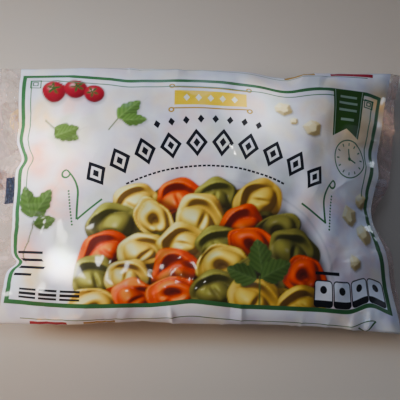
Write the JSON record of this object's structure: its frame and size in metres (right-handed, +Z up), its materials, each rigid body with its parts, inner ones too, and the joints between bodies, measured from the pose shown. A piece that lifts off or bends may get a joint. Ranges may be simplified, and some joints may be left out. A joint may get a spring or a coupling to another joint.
{
  "type": "sealed pillow bag of frozen tortellini",
  "caption": "Sealed, printed plastic-film pillow bag of frozen stuffed pasta rings, lying flat with its front up, with clear ends, crimped end seals and folds in the film.",
  "frame": {"origin": "middle of the bag's box, on the surface it rests on", "axes": "+X along the bag from seal to seal, towards the end that folds under; +Y across the printed front, towards its top; +Z up from the surface"},
  "size_m": [0.313, 0.199, 0.0428],
  "materials": {
    "printed_film": "glossy white printed film with green border, pasta picture and ornaments",
    "clear_film": "clear glossy film, crinkled, with crimped seals",
    "egg_pasta": "matt frozen pasta, warm yellow",
    "spinach_pasta": "matt frozen pasta, green",
    "tomato_pasta": "matt frozen pasta, orange"
  },
  "bodies": {
    "root": {"bag": "printed_film"}
  },
  "joints": []
}
